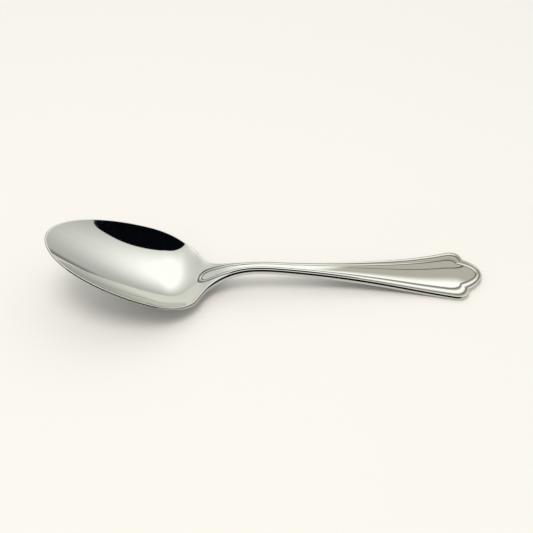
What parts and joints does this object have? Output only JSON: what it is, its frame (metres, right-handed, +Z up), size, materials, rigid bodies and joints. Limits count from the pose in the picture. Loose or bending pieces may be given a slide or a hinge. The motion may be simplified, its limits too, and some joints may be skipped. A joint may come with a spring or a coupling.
{
  "type": "tablespoon",
  "caption": "Polished stainless steel tablespoon with a deep egg-shaped bowl, an arched stem and a flared handle with a thread border and a trefoil end.",
  "frame": {"origin": "on the table, under the middle of the spoon's length and width, with the spoon lying bowl up as it rests by itself", "axes": "+X from the bowl's tip to the handle's end, +Y across the spoon, +Z up"},
  "size_m": [0.2022, 0.049, 0.0367],
  "materials": {
    "bowl_steel": "stainless steel, polished to a mirror",
    "handle_steel": "stainless steel, struck and polished to a mirror"
  },
  "bodies": {
    "root": {"bowl": "bowl_steel", "handle": "handle_steel"}
  },
  "joints": []
}
